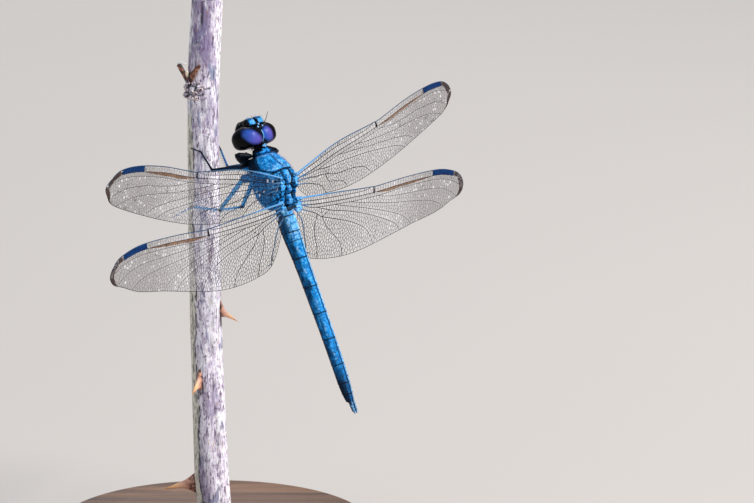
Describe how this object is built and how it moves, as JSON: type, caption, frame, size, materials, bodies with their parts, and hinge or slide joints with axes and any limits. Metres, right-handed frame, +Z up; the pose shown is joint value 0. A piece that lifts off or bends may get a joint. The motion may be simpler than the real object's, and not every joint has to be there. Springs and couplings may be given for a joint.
{
  "type": "male slaty skimmer dragonfly on a cane perch",
  "caption": "Still life-size blue dragonfly with spread clear wings, clinging to a short cut thorny cane on a round display stand.",
  "frame": {"origin": "centre of the stand base's underside", "axes": "+Z up along the rod and cane, -Y towards the side the dragonfly's back is seen from, +X to that viewer's right"},
  "size_m": [0.0698, 0.0747, 0.0952],
  "materials": {
    "pruinose_cuticle": "matte blue bloom over dark cuticle",
    "dark_cuticle": "satin blue-black cuticle",
    "eye_surface": "glossy, black below and violet blue above",
    "wing_membrane": "thin clear membrane with dark veins",
    "leg_cuticle": "black to dark teal, spined",
    "cane_bark": "weathered pale bark with purple-brown streaks",
    "stand_wood": "satin walnut",
    "stand_steel": "brushed"
  },
  "bodies": {
    "root": {"thorax": "pruinose_cuticle", "frons": "pruinose_cuticle", "abdomen_1": "pruinose_cuticle", "abdomen_2": "pruinose_cuticle", "abdomen_3": "pruinose_cuticle", "abdomen_4": "pruinose_cuticle", "abdomen_5": "pruinose_cuticle", "abdomen_6": "pruinose_cuticle", "abdomen_7": "pruinose_cuticle", "head_capsule": "dark_cuticle", "mouthparts": "dark_cuticle", "prothorax": "dark_cuticle", "antenna_left": "dark_cuticle", "antenna_right": "dark_cuticle", "abdomen_8": "dark_cuticle", "abdomen_9": "dark_cuticle", "abdomen_10": "dark_cuticle", "cercus_left": "dark_cuticle", "cercus_right": "dark_cuticle", "epiproct": "dark_cuticle", "eye_left": "eye_surface", "eye_right": "eye_surface", "wing_fore_left": "wing_membrane", "wing_fore_right": "wing_membrane", "wing_hind_left": "wing_membrane", "wing_hind_right": "wing_membrane", "leg_fore_left_femur": "leg_cuticle", "leg_fore_left_tibia": "leg_cuticle", "leg_fore_left_tarsus": "leg_cuticle", "leg_fore_right_femur": "leg_cuticle", "leg_fore_right_tibia": "leg_cuticle", "leg_fore_right_tarsus": "leg_cuticle", "leg_mid_left_femur": "leg_cuticle", "leg_mid_left_tibia": "leg_cuticle", "leg_mid_left_tarsus": "leg_cuticle", "leg_mid_right_femur": "leg_cuticle", "leg_mid_right_tibia": "leg_cuticle", "leg_mid_right_tarsus": "leg_cuticle", "leg_hind_left_femur": "leg_cuticle", "leg_hind_left_tibia": "leg_cuticle", "leg_hind_left_tarsus": "leg_cuticle", "leg_hind_right_femur": "leg_cuticle", "leg_hind_right_tibia": "leg_cuticle", "leg_hind_right_tarsus": "leg_cuticle", "perch_stem": "cane_bark", "stand_base": "stand_wood", "stand_rod": "stand_steel"}
  },
  "joints": []
}
